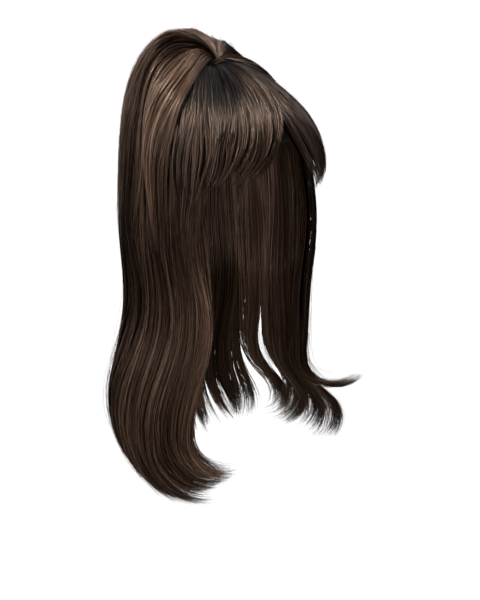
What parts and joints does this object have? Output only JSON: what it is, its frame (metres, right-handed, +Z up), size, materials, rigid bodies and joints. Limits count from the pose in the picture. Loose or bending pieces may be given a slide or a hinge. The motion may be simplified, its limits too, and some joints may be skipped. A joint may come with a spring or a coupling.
{
  "type": "beehive wig",
  "caption": "Long dark brown beehive wig: net cap, teased crown puff swept back from a pinch, parted curtain fringe, and long side and back hair with curled ends.",
  "frame": {"origin": "inside top of the cap, on the crown of the wearer's head", "axes": "+Z up, the face looks along -Y, the wearer's left is +X"},
  "size_m": [0.2684, 0.2497, 0.5332],
  "materials": {
    "net": "fine dark net with sewn wefts",
    "hair_swept": "glossy combed synthetic hair",
    "hair_long": "glossy combed synthetic hair"
  },
  "bodies": {
    "root": {"cap": "net", "beehive_puff": "hair_swept", "crown_band": "hair_swept", "fringe_right": "hair_swept", "fringe_left": "hair_swept", "side_hair_right": "hair_long", "side_hair_left": "hair_long", "back_hair": "hair_long"}
  },
  "joints": []
}
